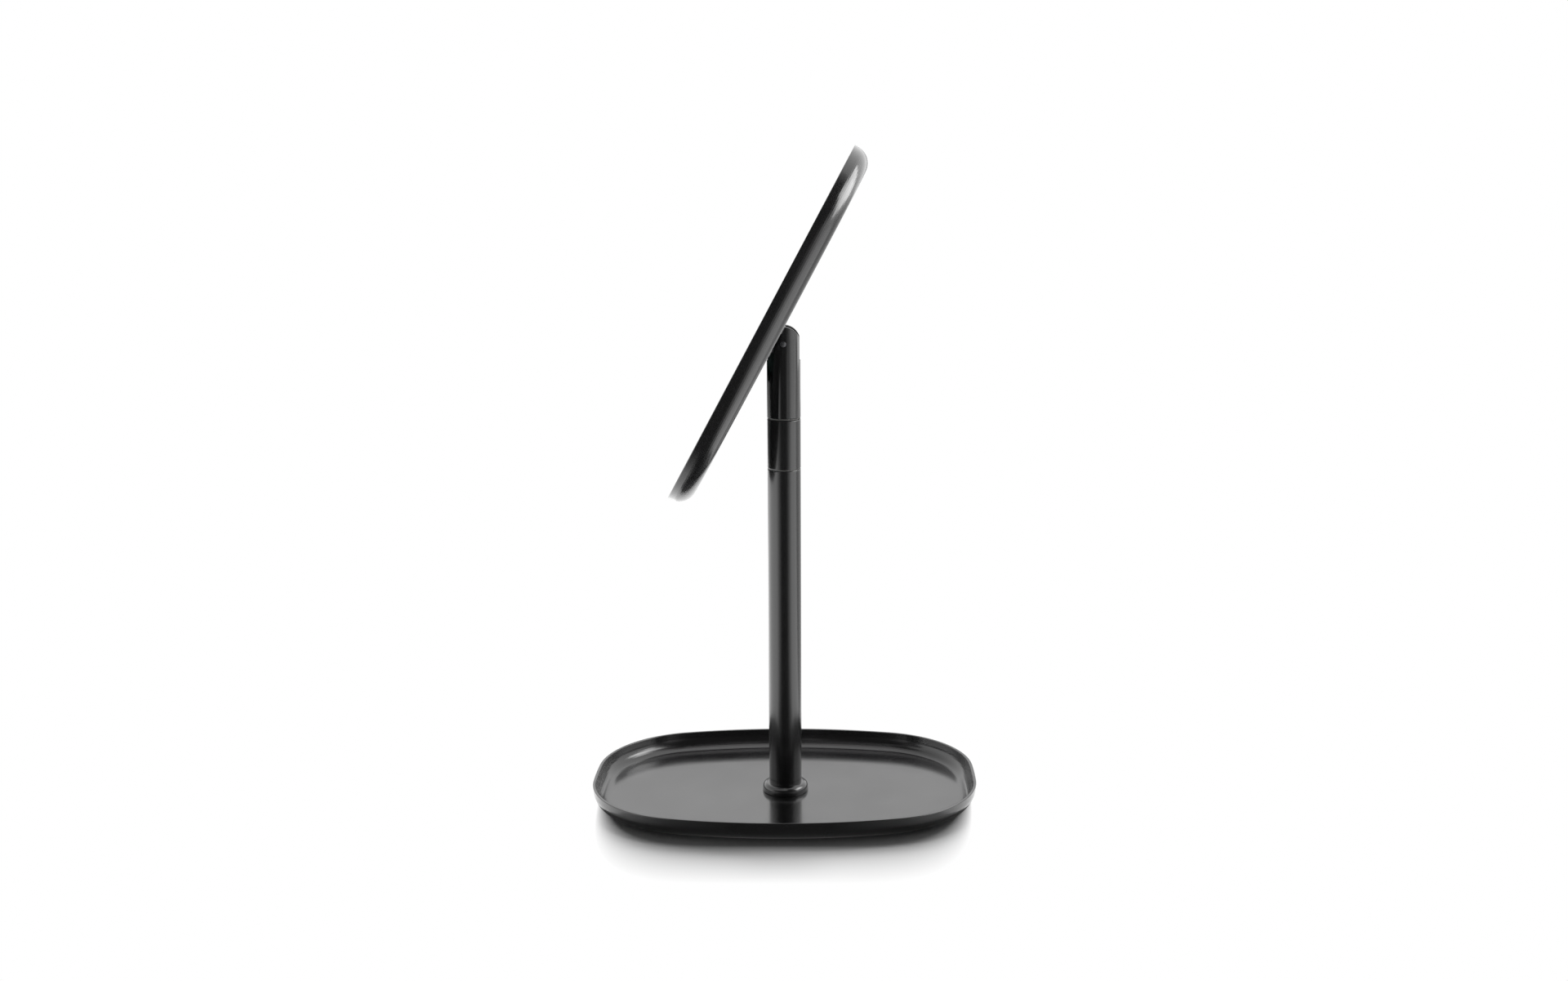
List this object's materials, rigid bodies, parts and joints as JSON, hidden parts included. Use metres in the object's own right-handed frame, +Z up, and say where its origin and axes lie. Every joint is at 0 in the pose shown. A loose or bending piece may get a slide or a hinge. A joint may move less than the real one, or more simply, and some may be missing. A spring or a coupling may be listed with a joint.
{
  "type": "extendable table mirror",
  "caption": "Black table mirror on a round telescopic stem with a twist collar and tilt hinge, standing in a shallow soft-cornered tray of the same outline.",
  "frame": {"origin": "on the stem's axis, at the level that the foot pad stands on", "axes": "+Z up the stem, +X along the tray's length towards the mirror's back, +Y along the tilt hinge"},
  "size_m": [0.1898, 0.13, 0.3211],
  "materials": {
    "black_gloss_paint": "smooth gloss black powder coat",
    "mast_steel": "bright drawn steel tube",
    "fastener_steel": "zinc plated steel",
    "steel_blackened": "blackened steel",
    "brass_turned": "turned brass",
    "nylon_grey": "grey nylon",
    "nylon_natural": "natural nylon",
    "rubber_black": "matt black rubber",
    "foam_grey": "closed-cell foam",
    "silvered_glass": "silvered float glass"
  },
  "bodies": {
    "base": {"tray": "black_gloss_paint", "foot_pad": "rubber_black", "base_screw": "fastener_steel", "screw_washer": "fastener_steel", "foot_collar": "black_gloss_paint", "lower_tube": "black_gloss_paint", "neck_bush": "brass_turned", "stop_ring": "rubber_black", "collet": "nylon_natural", "tube_seam_ring": "nylon_grey"},
    "lock_collar": {"lock_collar": "black_gloss_paint"},
    "slider": {"guide_bush": "nylon_natural"},
    "mast": {"end_plug": "fastener_steel", "mast_tube": "mast_steel", "head_seam_ring": "nylon_grey", "head": "black_gloss_paint", "friction_discs": "nylon_natural", "pivot_pin": "steel_blackened"},
    "mirror": {"mirror_pan": "black_gloss_paint", "hinge_bracket": "fastener_steel", "bracket_rivets": "black_gloss_paint", "mirror_backing": "foam_grey", "mirror_glass": "silvered_glass"}
  },
  "joints": [
    {"name": "collar_twist", "type": "hinge", "parent": "base", "child": "lock_collar", "pos_m": [0, 0, 0.178], "axis": [0, 0, 1], "range_deg": [0, 90]},
    {"name": "mast_slide", "type": "slide", "parent": "base", "child": "slider", "axis": [0, 0, 1], "range_m": [0, 0.1]},
    {"name": "mast_turn", "type": "hinge", "parent": "slider", "child": "mast", "pos_m": [0, 0, 0.2], "axis": [0, 0, 1], "continuous": true},
    {"name": "mirror_tilt", "type": "hinge", "parent": "mast", "child": "mirror", "pos_m": [0, 0, 0.2273], "axis": [0, 1, 0], "range_deg": [-18.2, 51.8]}
  ]
}
